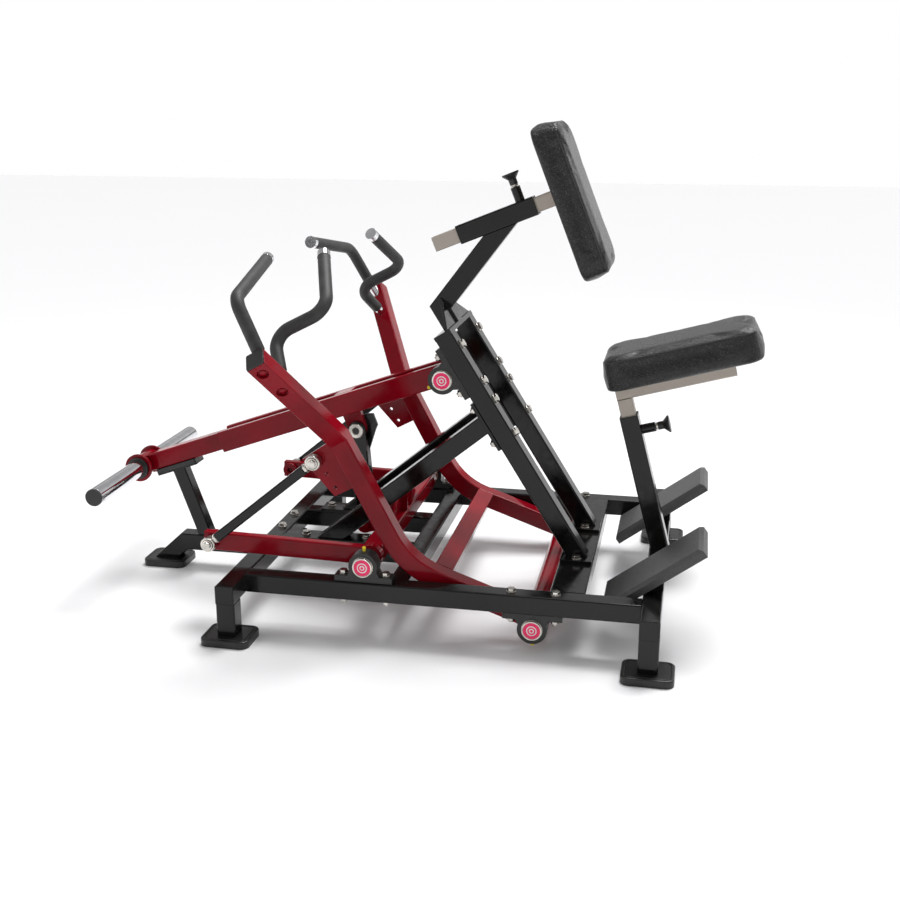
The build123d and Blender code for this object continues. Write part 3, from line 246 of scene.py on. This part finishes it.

# ---------------------------------------------------------------- red steel
# The swinging parts are in candy red: a clear red over a bright base, so lit faces glow and shaded ones go
# wine dark. Arms, gussets, pivot tubes, rocker, weight beams and hub share one coat.
# The brighter red given for the edges is painted along them as a highlight.
red_coat = powder_coat("candy_red_coat", (0.16, 0.001, 0.006), (0.24, 0.0015, 0.009),
                       (0.4, 0.01, 0.022), 0.13, 0.2)
finish(red_coat, "left_arm", "right_arm", "arm_cross_tube", "arm_pivot_tube", "arm_gussets",
       "rocker_levers", "rocker_tube", "rocker_lugs", "weight_beams", "weight_nose_beam", "weight_lug",
       "weight_hub")


# ---------------------------------------------------------------- plated steel
# Bolts, axles, pins and rod ends are zinc plated. The horns, the grips' end caps and their bars are chrome,
# turned and polished, with fine rings left by the buff.
def plating(name, dull, bright, gloss, grain, radius):
    material, tree, shader = fresh_material(name)
    soft, edges = rounded_edges_and_highlight_mask(tree, radius)
    tone = shade_between(tree, object_noise(tree, 30.0, 5.0), dull, bright)
    # The bright tone is also laid along the sharp edges as a painted highlight.
    tree.links.new(over(tree, edges, tone, bright), shader.inputs["Base Color"])
    shader.inputs["Metallic"].default_value = 1.0
    tree.links.new(between(tree, object_noise(tree, 160.0, 3.0), gloss, gloss + 0.1),
                   shader.inputs["Roughness"])
    relief(tree, shader, object_noise(tree, 1500.0, 2.0), grain, 0.0002, soft)
    return material


zinc = plating("zinc_plate", (0.4, 0.38, 0.35), (0.72, 0.69, 0.64), 0.16, 0.25, 0.0008)
finish(zinc, "frame_bolts", "bearing_inserts", "arm_axle", "rocker_axle", "weight_axle",
       "centre_link_pins", "rod_ends")
chrome = plating("bright_chrome", (0.68, 0.68, 0.7), (0.76, 0.76, 0.78), 0.05, 0.06, 0.0008)
finish(chrome, "weight_horns", "grip_end_caps", "grip_bars")

# ---------------------------------------------------------------- slides
# The seat's L frame and the chest slide are square tube in a satin champagne silver with a fine fleck.
champagne, tree, shader = fresh_material("champagne_satin")
soft, edges = rounded_edges_and_highlight_mask(tree, 0.001)
fleck = object_noise(tree, 1900.0, 3.0)
tone = shade_between(tree, fleck, (0.3, 0.265, 0.228), (0.47, 0.42, 0.368))
# The paler colour along the sharp edges is a painted highlight.
tree.links.new(over(tree, edges, tone, (0.66, 0.6, 0.53)), shader.inputs["Base Color"])
shader.inputs["Metallic"].default_value = 0.25
tree.links.new(between(tree, object_noise(tree, 45.0, 3.0), 0.34, 0.46), shader.inputs["Roughness"])
relief(tree, shader, fleck, 0.12, 0.0002, soft)
finish(champagne, "seat_frame", "chest_slide")


# ---------------------------------------------------------------- plugs and rests
# The arms' open ends and the horns are closed with black plastic plugs, and the pull knobs are moulded in
# the same plastic. The rest on the rear stand and the bumpers on the horns are black rubber.
def moulding(name, deep, light, gloss, grain, scale):
    material, tree, shader = fresh_material(name)
    soft, edges = rounded_edges_and_highlight_mask(tree, 0.001)
    tone = shade_between(tree, object_noise(tree, 26.0, 4.0), deep, light)
    # The colour lightened along the sharp edges is a painted highlight.
    painted_edge_highlight = tuple(part * 1.8 for part in light)
    tree.links.new(over(tree, edges, tone, painted_edge_highlight), shader.inputs["Base Color"])
    texture = object_noise(tree, scale, 3.0)
    tree.links.new(between(tree, texture, gloss - 0.06, gloss + 0.08), shader.inputs["Roughness"])
    relief(tree, shader, texture, grain, 0.0004, soft)
    return material


plug_plastic = moulding("plug_plastic", (0.008, 0.008, 0.008), (0.013, 0.013, 0.012), 0.36, 0.2, 900.0)
finish(plug_plastic, "arm_end_caps", "horn_end_caps", "seat_pull_pin", "chest_pull_pin")
rubber = moulding("black_rubber", (0.006, 0.006, 0.006), (0.011, 0.011, 0.01), 0.3, 0.2, 700.0)
finish(rubber, "stand_rest_pad", "horn_bumpers")

# ---------------------------------------------------------------- foot plates
# Thick boards under the feet, bevelled at the top edge, coated in a mid grey anti-slip grain.
grip_coat, tree, shader = fresh_material("anti_slip_grey")
soft, edges = rounded_edges_and_highlight_mask(tree, 0.0015)
grit = object_noise(tree, 620.0, 4.0)
tone = shade_between(tree, grit, (0.03, 0.03, 0.03), (0.085, 0.085, 0.086))
# The lighter grey along the sharp edges is a painted highlight.
tree.links.new(over(tree, edges, tone, (0.13, 0.13, 0.13)), shader.inputs["Base Color"])
tree.links.new(between(tree, grit, 0.6, 0.36), shader.inputs["Roughness"])
relief(tree, shader, grit, 0.55, 0.0007, soft)
finish(grip_coat, "foot_plates")

# ---------------------------------------------------------------- grease nipples
# A steel nipple under a bright yellow dust cap on each bearing block.
yellow = moulding("yellow_dust_cap", (0.72, 0.52, 0.015), (0.88, 0.7, 0.03), 0.24, 0.1, 800.0)
finish(yellow, "grease_nipples")


# ---------------------------------------------------------------- bearing caps
# Each block is closed on its outer side by a pressed steel cap: a rolled silver rim round a pink disc with
# two raised white rings. The cap is pushed into the mouth of the insert.
def new_piece(name, shape, body, slot, *materials):
    """Puts a finished bmesh in the scene as a piece that rides on a body."""
    bmesh.ops.remove_doubles(shape, verts=shape.verts, dist=0.00002)
    bmesh.ops.recalc_face_normals(shape, faces=shape.faces)
    mesh = bpy.data.meshes.new(name)
    shape.to_mesh(mesh)
    shape.free()
    piece = bpy.data.objects.new(name, mesh)
    scene.collection.objects.link(piece)
    for material in materials:
        mesh.materials.append(material)
    mesh.shade_smooth()
    mesh.set_sharp_from_angle(angle=math.radians(32))
    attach(piece, body)
    return piece


def joint_named(name):
    return next(joint for joint in frame["record"]["behaviour"]["joints"] if joint["name"] == name)


def joint_place(name):
    """Where a joint's axle lies."""
    return Vector(joint_named(name)["pos_m"])


def stand_at(part, place, facing):
    """Stands a bmesh, made upright at the origin, at a place so that its top faces a way."""
    stand = Vector(facing).to_track_quat("Z", "Y").to_matrix().to_4x4()
    bmesh.ops.transform(part, matrix=Matrix.Translation(place) @ stand, verts=part.verts)


def join_into(shape, part):
    """Adds a finished bmesh to another and frees it."""
    carried = bpy.data.meshes.new("carried")
    part.to_mesh(carried)
    part.free()
    shape.from_mesh(carried)
    bpy.data.meshes.remove(carried)


def turned_shape(shape, profile, place, facing, steps=56):
    """Spins a profile of (radius, height) points into a closed solid that stands at a place, facing a way."""
    spun = bmesh.new()
    points = [spun.verts.new((radius, 0.0, height)) for radius, height in profile]
    edges = [spun.edges.new(pair) for pair in zip(points, points[1:])]
    bmesh.ops.spin(spun, geom=points + edges, axis=(0, 0, 1), cent=(0, 0, 0), steps=steps,
                   angle=math.tau, use_merge=True)
    bmesh.ops.remove_doubles(spun, verts=spun.verts, dist=0.00002)
    bmesh.ops.dissolve_degenerate(spun, edges=spun.edges, dist=0.00001)
    stand_at(spun, place, facing)
    join_into(shape, spun)


pink = moulding("pink_cap_enamel", (0.78, 0.006, 0.1), (0.86, 0.01, 0.13), 0.16, 0.05, 900.0)
white = moulding("white_ring_enamel", (0.72, 0.7, 0.7), (0.82, 0.8, 0.8), 0.22, 0.05, 900.0)
cap_profile = ((0.0, 0.0), (0.026, 0.0), (0.026, 0.0064), (0.0253, 0.0072), (0.0226, 0.0072),
               (0.0218, 0.0062), (0.0132, 0.0062), (0.0128, 0.0068), (0.0106, 0.0068),
               (0.0102, 0.0062), (0.0064, 0.0062), (0.006, 0.0068), (0.0038, 0.0068), (0.0034, 0.0062),
               (0.0, 0.0062))
rail_block_face = 0.417
upright_block_face = 0.143
caps = bmesh.new()
cap_places = []
for joint, face in (("arm_swing", rail_block_face), ("rocker_swing", rail_block_face),
                    ("weight_arm_swing", upright_block_face)):
    for side in (-1, 1):
        place = joint_place(joint) + Vector((0, side * face, 0))
        cap_places.append(place)
        turned_shape(caps, cap_profile, place, (0, side, 0))
for face in caps.faces:
    centre = face.calc_center_median()
    nearest = min(cap_places, key=lambda place: (centre - place).length)
    reach_out = math.hypot(centre.x - nearest.x, centre.z - nearest.z)
    raised = 0.0036 < reach_out < 0.0062 or 0.0104 < reach_out < 0.013
    face.material_index = 0 if reach_out > 0.0217 else (2 if raised else 1)
cap_discs = new_piece("bearing_cap_discs", caps, "frame", "pink_cap", zinc, pink, white)
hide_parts("bearing_caps")

# ---------------------------------------------------------------- rubber feet
# Five moulded feet, one under each corner leg and one under the rear stand, each a slab with rounded
# corners and a groove that follows its edge. The leg's end plate is screwed down onto the middle.
foot_length, foot_width, foot_height = 0.13, 0.11, 0.02
leg_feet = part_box("corner_legs")
stand_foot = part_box("rubber_feet")[0].x + foot_length / 2
half_tube = 0.025
leg_x = (leg_feet[0].x + half_tube, leg_feet[1].x - half_tube)
leg_y = (leg_feet[0].y + half_tube, leg_feet[1].y - half_tube)
feet = bmesh.new()
for x, y in [(x, y) for x in leg_x for y in leg_y] + [(stand_foot, 0.0)]:
    slab = bmesh.new()
    bmesh.ops.create_cube(slab, size=1.0)
    bmesh.ops.scale(slab, vec=(foot_length, foot_width, foot_height), verts=slab.verts)
    bmesh.ops.translate(slab, vec=(x, y, foot_height / 2), verts=slab.verts)
    upright_edges = [e for e in slab.edges if abs(e.verts[0].co.z - e.verts[1].co.z) > 0.01]
    bmesh.ops.bevel(slab, geom=upright_edges, offset=0.022, segments=8, profile=0.5, affect="EDGES",
                    material=-1)
    top = max(slab.faces, key=lambda f: f.calc_center_median().z)
    for thickness, depth in ((0.008, 0.0), (0.0012, -0.0016), (0.0022, 0.0), (0.0012, 0.0016)):
        bmesh.ops.inset_region(slab, faces=[top], thickness=thickness, depth=depth, use_even_offset=True)
    rim = [e for e in slab.edges if len(e.link_faces) == 2 and e.calc_face_angle(0) > 1.2
           and min(v.co.z for v in e.verts) > foot_height - 0.0001
           and any(abs(f.normal.z) < 0.1 for f in e.link_faces)]
    bmesh.ops.bevel(slab, geom=rim, offset=0.0035, segments=4, profile=0.5, affect="EDGES", material=-1)
    join_into(feet, slab)
foot_slabs = new_piece("grooved_rubber_feet", feet, "frame", "rubber", rubber)
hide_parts("rubber_feet")

# ---------------------------------------------------------------- pull pin collars
# A zinc collar shows between each pull pin's barrel and its flared knob, and moves with the pin.
chest_up = Vector(joint_named("chest_pin_pull")["axis"])
seat_along = Vector(joint_named("seat_pin_pull")["axis"])


def reach(node, way):
    """How far a CAD node goes along a direction: its least and its most."""
    steps = [vertex.co.dot(way) for vertex in frame["nodes"][node].data.vertices]
    return min(steps), max(steps)


collar_profile = ((0.0, 0.0), (0.0098, 0.0), (0.0104, 0.0006), (0.0104, 0.0052), (0.0098, 0.0058),
                  (0.0, 0.0058))
knob_length = 0.031
collar_height = 0.006
for name, node, way, body in (("chest_pin_collar", "chest_pull_pin", chest_up, "chest_pin"),
                              ("seat_pin_collar", "seat_pull_pin", seat_along, "seat_pin")):
    square = Vector((way.z, 0, -way.x))
    low, high = reach(node, square)
    neck = reach(node, way)[1] - knob_length
    collar = bmesh.new()
    turned_shape(collar, collar_profile, way * (neck - collar_height) + square * (low + high) / 2, way, 40)
    new_piece(name, collar, body, "zinc_steel", zinc)

# ---------------------------------------------------------------- rod ends
# Each side rod has a spherical end screwed into it at both ends: an eye with a rolled seat, a hex bolt
# through the ball and a lock nut against the rod.
rod_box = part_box("rod_ends")
eye = 0.02
low_pin = Vector((rod_box[0].x + eye, 0, rod_box[0].z + eye))
high_pin = Vector((rod_box[1].x - eye, 0, rod_box[1].z - eye))
rod_way = (high_pin - low_pin).normalized()
rod_outer, rod_middle = 0.371, 0.36
seat_rise, nut_reach = 0.004, 0.0225


def hexagon(shape, place, facing, radius, height, edge):
    """A hexagon head or nut that stands at a place, facing a way, with its corners eased."""
    head = bmesh.new()
    bmesh.ops.create_cone(head, cap_ends=True, segments=6, radius1=radius, radius2=radius, depth=height)
    bmesh.ops.translate(head, vec=(0, 0, height / 2), verts=head.verts)
    bmesh.ops.bevel(head, geom=head.edges[:], offset=edge, segments=2, profile=0.5, affect="EDGES",
                    material=-1)
    stand_at(head, place, facing)
    join_into(shape, head)


seat_profile = ((0.0142, 0.0), (0.0196, 0.0), (0.0196, 0.0012), (0.0188, 0.002), (0.0156, 0.002),
                (0.0142, 0.0006), (0.0142, 0.0))
fittings = bmesh.new()
for side in (-1, 1):
    out = Vector((0, side, 0))
    for pin, way in ((low_pin, rod_way), (high_pin, -rod_way)):
        turned_shape(fittings, seat_profile, pin + out * rod_outer, out, 40)
        hexagon(fittings, pin + out * (rod_outer + seat_rise), out, 0.0105, 0.0055, 0.0007)
        hexagon(fittings, pin + out * rod_middle + way * nut_reach, way, 0.0135, 0.0085, 0.0008)
new_piece("rod_end_fittings", fittings, "rods", "zinc_steel", zinc)

# ---------------------------------------------------------------- link bearing faces
# The centre link's upper bolt carries a bright ring on each cheek, with a dark rubber seal in its middle.
ring_profile = ((0.0095, 0.0), (0.0205, 0.0), (0.0205, 0.0012), (0.0196, 0.002), (0.0108, 0.002),
                (0.0095, 0.001), (0.0095, 0.0))
seal_profile = ((0.0, 0.0), (0.0094, 0.0), (0.0094, 0.0008), (0.0, 0.0012))
link_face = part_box("centre_link_pins")[1].y
bright_rings, seals = bmesh.new(), bmesh.new()
for side in (-1, 1):
    place = joint_place("link_swing") + Vector((0, side * link_face, 0))
    turned_shape(bright_rings, ring_profile, place, (0, side, 0), 40)
    turned_shape(seals, seal_profile, place, (0, side, 0), 40)
new_piece("link_bearing_rings", bright_rings, "link", "zinc_steel", zinc)
new_piece("link_bearing_seals", seals, "link", "rubber", rubber)

# ---------------------------------------------------------------- lever end bosses
# A turned boss is welded on the inner face of each rocker lever where the side rod's bolt goes through.
boss_profile = ((0.0085, 0.0), (0.0225, 0.0), (0.0225, 0.0085), (0.0215, 0.0095), (0.0095, 0.0095),
                (0.0085, 0.0085), (0.0085, 0.0))
rocker_half_tube = 0.025
lever_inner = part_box("rocker_levers")[1].y - rocker_half_tube
bosses = bmesh.new()
for side in (-1, 1):
    turned_shape(bosses, boss_profile, low_pin + Vector((0, side * lever_inner, 0)), (0, -side, 0), 40)
new_piece("lever_end_bosses", bosses, "rocker", "red_paint", red_coat)

# ---------------------------------------------------------------- foam grips
# The hand grips are sleeves of closed-cell foam rubber, pushed over the bent bars with a little soap. The
# skin is smooth and slightly dusty, and the cut ends are softened.
foam_rubber, tree, shader = fresh_material("foam_rubber")
cells = object_noise(tree, 1300.0, 4.0)
tone = shade_between(tree, object_noise(tree, 38.0, 5.0), (0.017, 0.017, 0.017), (0.033, 0.033, 0.032))
tree.links.new(over(tree, between(tree, cells, 0.0, 1.0, 0.56, 0.7), tone, (0.07, 0.07, 0.07)),
               shader.inputs["Base Color"])
tree.links.new(between(tree, cells, 0.5, 0.72), shader.inputs["Roughness"])
relief(tree, shader, cells, 0.5, 0.0005)
foam = bmesh.new()
foam.from_mesh(frame["nodes"]["grip_foams"].data)
bmesh.ops.remove_doubles(foam, verts=foam.verts, dist=0.00005)
cut_ends = [e for e in foam.edges if len(e.link_faces) == 2 and e.calc_face_angle(0) > 1.3]
bmesh.ops.bevel(foam, geom=cut_ends, offset=0.0011, segments=3, profile=0.5, affect="EDGES",
                material=-1, clamp_overlap=True)
foam_grips = new_piece("foam_grip_sleeves", foam, "arms", "foam", foam_rubber)
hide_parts("grip_foams")

# ---------------------------------------------------------------- pads
# Seat and chest pad: a block of firm moulded foam on a plywood board, wrapped in black grained vinyl drawn
# tight, stapled under the board and sewn with a thin welt below its front rim.
vinyl, tree, shader = fresh_material("grained_vinyl")
place = tree.nodes.new("ShaderNodeTexCoord")
pebbles = tree.nodes.new("ShaderNodeTexVoronoi")
pebbles.feature = "SMOOTH_F1"
pebbles.inputs["Scale"].default_value = 400.0
tree.links.new(place.outputs["Object"], pebbles.inputs["Vector"])
tone = shade_between(tree, object_noise(tree, 22.0, 4.0), (0.006, 0.006, 0.0057), (0.011, 0.011, 0.0106))
# Pale flecks painted into the vinyl's colour stand in for glints on its grain: a painted highlight.
painted_glints = between(tree, object_noise(tree, 520.0, 2.0), 0.0, 0.6, 0.6, 0.7)
tree.links.new(over(tree, painted_glints, tone, (0.2, 0.2, 0.21)), shader.inputs["Base Color"])
tree.links.new(between(tree, object_noise(tree, 480.0, 3.0), 0.2, 0.42), shader.inputs["Roughness"])
shader.inputs["Specular IOR Level"].default_value = 0.38
relief(tree, shader, pebbles.outputs["Distance"], 0.8, 0.0016)
welt_vinyl = moulding("welt_vinyl", (0.02, 0.02, 0.02), (0.035, 0.035, 0.035), 0.3, 0.2, 800.0)


def evaluated_mesh(piece):
    """The piece's mesh with its modifiers, as a mesh of its own."""
    bpy.context.view_layer.update()
    return bpy.data.meshes.new_from_object(piece.evaluated_get(bpy.context.evaluated_depsgraph_get()))


def lay_welt(pad, body, level, out):
    """Lays a thin round welt on the cover where a plane cuts it, a finger's breadth below the rim."""
    loop = bmesh.new()
    loop.from_mesh(pad.data)
    cut = bmesh.ops.bisect_plane(loop, geom=loop.verts[:] + loop.edges[:] + loop.faces[:], dist=0.00001,
                                 plane_co=level, plane_no=out)["geom_cut"]
    kept = {element for element in cut if isinstance(element, bmesh.types.BMEdge)}
    bmesh.ops.delete(loop, geom=[e for e in loop.edges if e not in kept], context="EDGES_FACES")
    bmesh.ops.delete(loop, geom=[v for v in loop.verts if not v.link_edges], context="VERTS")
    line = bpy.data.meshes.new(pad.name + "_line")
    loop.to_mesh(line)
    loop.free()
    welt = bpy.data.objects.new(pad.name + "_welt", line)
    scene.collection.objects.link(welt)
    bpy.ops.object.select_all(action="DESELECT")
    welt.select_set(True)
    bpy.context.view_layer.objects.active = welt
    bpy.ops.object.convert(target="CURVE")
    welt.data.bevel_depth = 0.0014
    welt.data.bevel_resolution = 2
    bpy.ops.object.convert(target="MESH")
    welt.data.materials.clear()
    welt.data.materials.append(welt_vinyl)
    welt.data.shade_smooth()
    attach(welt, body)


def stuffed_pad(name, node, body, along, out, thickness):
    """Blows up a slightly small pad inside its cover, held flat on its board, and keeps it near its size."""
    across = Vector((0, 1, 0))
    start, stop = reach(node, along)
    left, right = reach(node, across)
    face = reach(node, out)[1]
    stand = Matrix((along, across, out)).transposed().to_4x4()
    middle = along * (start + stop) / 2 + across * (left + right) / 2 + out * (face - thickness)
    slack, board_grip = 0.0035, 0.004
    shape = bmesh.new()
    bmesh.ops.create_cube(shape, size=1.0)
    bmesh.ops.scale(shape, vec=(stop - start - 2 * slack, right - left - 2 * slack, thickness - slack),
                    verts=shape.verts)
    bmesh.ops.translate(shape, vec=(0, 0, (thickness - slack) / 2), verts=shape.verts)
    corners = [e for e in shape.edges if abs(e.verts[0].co.z - e.verts[1].co.z) > 0.01]
    bmesh.ops.bevel(shape, geom=corners, offset=0.043, segments=10, profile=0.5, affect="EDGES",
                    material=-1)
    for face_of, radius in ((max, 0.0095), (min, 0.005)):
        flat = face_of(shape.faces, key=lambda f: f.calc_center_median().z)
        bmesh.ops.bevel(shape, geom=flat.edges[:], offset=radius, segments=5, profile=0.5,
                        affect="EDGES", material=-1)
    mesh = bpy.data.meshes.new(name)
    shape.to_mesh(mesh)
    shape.free()
    pad = bpy.data.objects.new(name, mesh)
    scene.collection.objects.link(pad)
    grid = pad.modifiers.new("even_grid", "REMESH")
    grid.mode = "VOXEL"
    grid.voxel_size = 0.005
    pad.data = evaluated_mesh(pad)
    pad.modifiers.clear()
    pad.data.transform(Matrix.Translation(middle) @ stand)
    rest = [vertex.co.copy() for vertex in pad.data.vertices]
    board = pad.vertex_groups.new(name="on_board")
    held = [i for i, co in enumerate(rest) if (co - middle).dot(out) < board_grip]
    board.add(held, 1.0, "REPLACE")
    cover = pad.modifiers.new("cover", "CLOTH")
    cover.settings.vertex_group_mass = "on_board"
    cover.settings.use_pressure = True
    cover.settings.uniform_pressure_force = 4.0
    cover.settings.effector_weights.gravity = 0.0
    cover.point_cache.frame_start, cover.point_cache.frame_end = 1, 20
    for step in range(1, 21):
        scene.frame_set(step)
    blown = evaluated_mesh(pad)
    pad.modifiers.clear()
    most = 0.006
    for vertex, was in zip(blown.vertices, rest):
        move = vertex.co - was
        if move.length > most:
            vertex.co = was + move.normalized() * most
    pad.data = blown
    scene.frame_set(1)
    finer = pad.modifiers.new("finer", "SUBSURF")
    finer.levels = finer.render_levels = 1
    pad.data = evaluated_mesh(pad)
    pad.modifiers.clear()
    pad.vertex_groups.clear()
    pad.data.materials.clear()
    pad.data.materials.append(vinyl)
    pad.data.shade_smooth()
    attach(pad, body)
    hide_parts(node)
    lay_welt(pad, body, middle + out * (thickness - 0.012), out)


chest_out = Vector((chest_up.z, 0, -chest_up.x))
seat_up = Vector((-seat_along.z, 0, seat_along.x))
stuffed_pad("chest_pad_cover", "chest_pad", "chest_support", -chest_up, chest_out, 0.076)
stuffed_pad("seat_pad_cover", "seat_pad", "seat", seat_along, seat_up, 0.088)

# ---------------------------------------------------------------- grip sockets
# Each grip bar is bolted from inside the arm's splayed top, through two round holes in its outer wall. A
# red cup closes each hole a little way down, with the head of the bar's bolt in the middle.
splay = math.radians(38)
rise_angle, crease_angle = math.radians(61.2), math.radians(62.2)
left_crease = joint_place("arm_swing") + Vector((-0.511993, -0.34, 0.449652))
splay_way = Vector((-math.cos(rise_angle) * math.cos(splay), -math.sin(splay),
                    math.sin(rise_angle) * math.cos(splay)))
fold = (splay_way + Vector((-math.cos(crease_angle), 0, math.sin(crease_angle)))).normalized()
inward = Vector((0, 1, 0)) - fold * (2 * fold.y)
cup_profile = ((0.0, -0.011), (0.0152, -0.011), (0.0152, 0.0), (0.0146, 0.0), (0.0142, -0.009),
               (0.0, -0.009))
splayed_length, arm_half_tube, cup_floor = 0.354, 0.025, 0.0091
cups, socket_bolts = bmesh.new(), bmesh.new()
for side in (-1, 1):
    mirrored = Matrix.Diagonal((1, -side, 1))
    for drop in (0.028, 0.105):
        mouth = left_crease + splay_way * (splayed_length - drop) - inward * arm_half_tube
        outward = mirrored @ -inward
        turned_shape(cups, cup_profile, mirrored @ mouth, outward, 40)
        hexagon(socket_bolts, mirrored @ mouth - outward * cup_floor, outward, 0.0085, 0.005,
                0.0006)
new_piece("grip_socket_cups", cups, "arms", "red_paint", red_coat)
new_piece("grip_socket_bolts", socket_bolts, "arms", "red_paint", red_coat)
